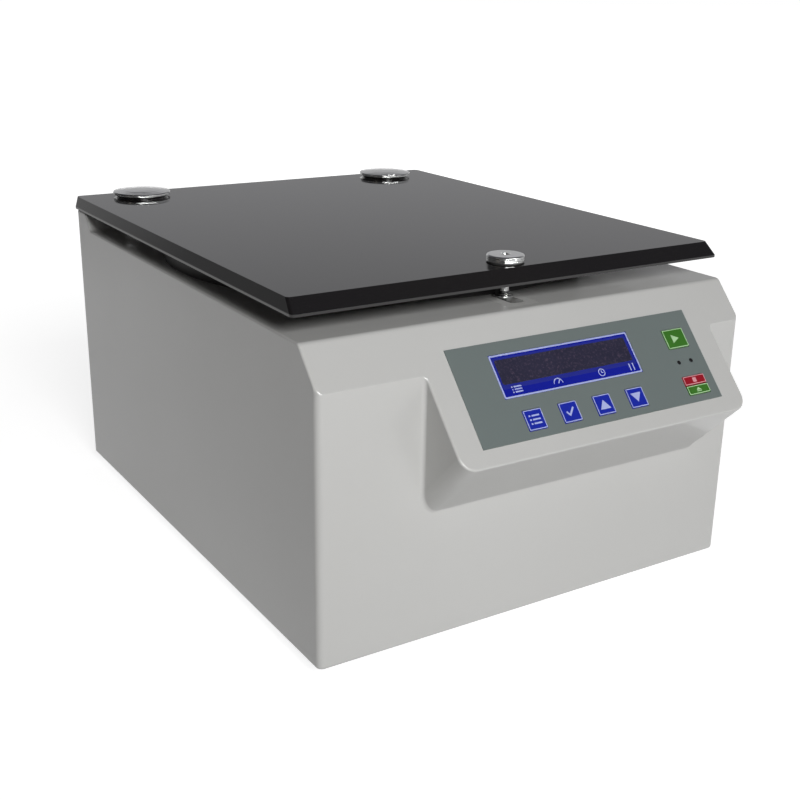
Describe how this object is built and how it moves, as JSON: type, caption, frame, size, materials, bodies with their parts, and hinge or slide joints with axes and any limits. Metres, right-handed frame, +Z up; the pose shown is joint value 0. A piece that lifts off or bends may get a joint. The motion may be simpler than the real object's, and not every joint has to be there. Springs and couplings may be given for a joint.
{
  "type": "cytocentrifuge",
  "caption": "Bench cytocentrifuge: a moulded housing with a sloping control pod, a dark hinged lid plate, and a spinning rotor that swings slide holders with funnels in a steel bowl.",
  "frame": {"origin": "on the bench, below the middle of the whole instrument's bounding box", "axes": "+Z up, +Y from the control pod to the hinges at the back, +X to the operator's right"},
  "size_m": [0.362, 0.5052, 0.2572],
  "materials": {
    "moulded_shell": "light grey, semi-gloss moulded shell",
    "steel_plate": "zinc-plated sheet",
    "screw_steel": "plated",
    "black_rubber": "matte",
    "stainless_bowl": "brushed stainless",
    "motor_casting": "cast, dark",
    "bearing_steel": "ground",
    "lock_plastic": "matte",
    "solenoid_steel": "plated",
    "hinge_steel": "satin",
    "grey_overlay": "satin film, grey-green",
    "blue_window": "gloss, deep blue",
    "dark_plastic": "satin black",
    "lamp_lens": "gloss",
    "circuit_board": "solder mask",
    "brass_pillar": "turned",
    "smoked_lid": "high gloss, near black",
    "polished_steel": "polished",
    "rotor_aluminium": "anodised satin",
    "clip_steel": "bright sheet",
    "funnel_plastic": "natural white",
    "slide_glass": "clear",
    "blue_key": "gloss blue",
    "green_key": "gloss green",
    "red_key": "gloss red"
  },
  "bodies": {
    "case": {"housing": "moulded_shell", "base_plate": "steel_plate", "base_screws": "screw_steel", "rubber_feet": "black_rubber", "chamber_bowl": "stainless_bowl", "bowl_floor": "stainless_bowl", "chamber_seal": "black_rubber", "shaft_boot": "black_rubber", "motor_dampers": "black_rubber", "motor_plate": "steel_plate", "motor_housing": "motor_casting", "motor_bearings": "bearing_steel", "lock_box": "lock_plastic", "lock_solenoid": "solenoid_steel", "hinge_brackets": "hinge_steel", "hinge_pins": "hinge_steel", "bracket_screws": "screw_steel", "control_overlay": "grey_overlay", "display_window": "blue_window", "display_module": "dark_plastic", "status_lamps": "lamp_lens", "keypad_board": "circuit_board", "board_pillars": "brass_pillar", "drive_board": "circuit_board", "power_supply": "steel_plate", "power_inlet": "dark_plastic", "switch_bezel": "dark_plastic"},
    "lid": {"lid_panel": "smoked_lid", "lid_knob": "polished_steel", "knob_washer": "black_rubber", "latch_striker": "polished_steel", "hinge_caps": "polished_steel", "hinge_arms": "hinge_steel", "hinge_pads": "black_rubber"},
    "rotor": {"rotor_shaft": "bearing_steel", "rotor_head": "rotor_aluminium", "rotor_nut": "rotor_aluminium"},
    "holder_1": {"slide_clip_1": "clip_steel", "sample_funnel_1": "funnel_plastic", "glass_slide_1": "slide_glass"},
    "holder_2": {"slide_clip_2": "clip_steel", "sample_funnel_2": "funnel_plastic", "glass_slide_2": "slide_glass"},
    "holder_3": {"slide_clip_3": "clip_steel", "sample_funnel_3": "funnel_plastic", "glass_slide_3": "slide_glass"},
    "holder_4": {"slide_clip_4": "clip_steel", "sample_funnel_4": "funnel_plastic", "glass_slide_4": "slide_glass"},
    "key_program": {"key_program": "blue_key"},
    "key_select": {"key_select": "blue_key"},
    "key_up": {"key_up": "blue_key"},
    "key_down": {"key_down": "blue_key"},
    "key_start": {"key_start": "green_key"},
    "key_stop": {"key_stop": "red_key"},
    "key_open": {"key_open": "green_key"},
    "rocker": {"power_rocker": "dark_plastic"},
    "fuse_drawer": {"fuse_drawer": "dark_plastic"},
    "lock_bolt": {"lock_bolt": "bearing_steel"}
  },
  "joints": [
    {"name": "lid_hinge", "type": "hinge", "parent": "case", "child": "lid", "pos_m": [0, 0.24857, 0.2355], "axis": [-1, 0, 0], "range_deg": [0, 78]},
    {"name": "rotor_spin", "type": "hinge", "parent": "case", "child": "rotor", "pos_m": [0, 0.02857, 0.1575], "axis": [0, 0, 1], "continuous": true},
    {"name": "holder_1_swing", "type": "hinge", "parent": "rotor", "child": "holder_1", "pos_m": [0.06364, 0.09221, 0.1915], "axis": [0.7071, -0.7071, 0], "range_deg": [0, 10]},
    {"name": "holder_2_swing", "type": "hinge", "parent": "rotor", "child": "holder_2", "pos_m": [-0.06364, 0.09221, 0.1915], "axis": [0.7071, 0.7071, 0], "range_deg": [0, 10]},
    {"name": "holder_3_swing", "type": "hinge", "parent": "rotor", "child": "holder_3", "pos_m": [-0.06364, -0.03507, 0.1915], "axis": [-0.7071, 0.7071, 0], "range_deg": [0, 10]},
    {"name": "holder_4_swing", "type": "hinge", "parent": "rotor", "child": "holder_4", "pos_m": [0.06364, -0.03507, 0.1915], "axis": [-0.7071, -0.7071, 0], "range_deg": [0, 10]},
    {"name": "key_program_press", "type": "slide", "parent": "case", "child": "key_program", "axis": [0, 0.744, -0.6682], "range_m": [0, 0.0005], "stiffness_N_per_m": 1500, "springref_m": -0.0005},
    {"name": "key_select_press", "type": "slide", "parent": "case", "child": "key_select", "axis": [0, 0.744, -0.6682], "range_m": [0, 0.0005], "stiffness_N_per_m": 1500, "springref_m": -0.0005},
    {"name": "key_up_press", "type": "slide", "parent": "case", "child": "key_up", "axis": [0, 0.744, -0.6682], "range_m": [0, 0.0005], "stiffness_N_per_m": 1500, "springref_m": -0.0005},
    {"name": "key_down_press", "type": "slide", "parent": "case", "child": "key_down", "axis": [0, 0.744, -0.6682], "range_m": [0, 0.0005], "stiffness_N_per_m": 1500, "springref_m": -0.0005},
    {"name": "key_start_press", "type": "slide", "parent": "case", "child": "key_start", "axis": [0, 0.744, -0.6682], "range_m": [0, 0.0005], "stiffness_N_per_m": 1500, "springref_m": -0.0005},
    {"name": "key_stop_press", "type": "slide", "parent": "case", "child": "key_stop", "axis": [0, 0.744, -0.6682], "range_m": [0, 0.0005], "stiffness_N_per_m": 1500, "springref_m": -0.0005},
    {"name": "key_open_press", "type": "slide", "parent": "case", "child": "key_open", "axis": [0, 0.744, -0.6682], "range_m": [0, 0.0005], "stiffness_N_per_m": 1500, "springref_m": -0.0005},
    {"name": "rocker_tilt", "type": "hinge", "parent": "case", "child": "rocker", "pos_m": [0.066, 0.24257, 0.05], "axis": [-1, 0, 0], "range_deg": [0, 18]},
    {"name": "fuse_drawer_pull", "type": "slide", "parent": "case", "child": "fuse_drawer", "axis": [0, 1, 0], "range_m": [0, 0.012]},
    {"name": "lock_bolt_throw", "type": "slide", "parent": "case", "child": "lock_bolt", "axis": [-1, 0, 0], "range_m": [0, 0.015], "stiffness_N_per_m": 100, "springref_m": -0.005}
  ]
}
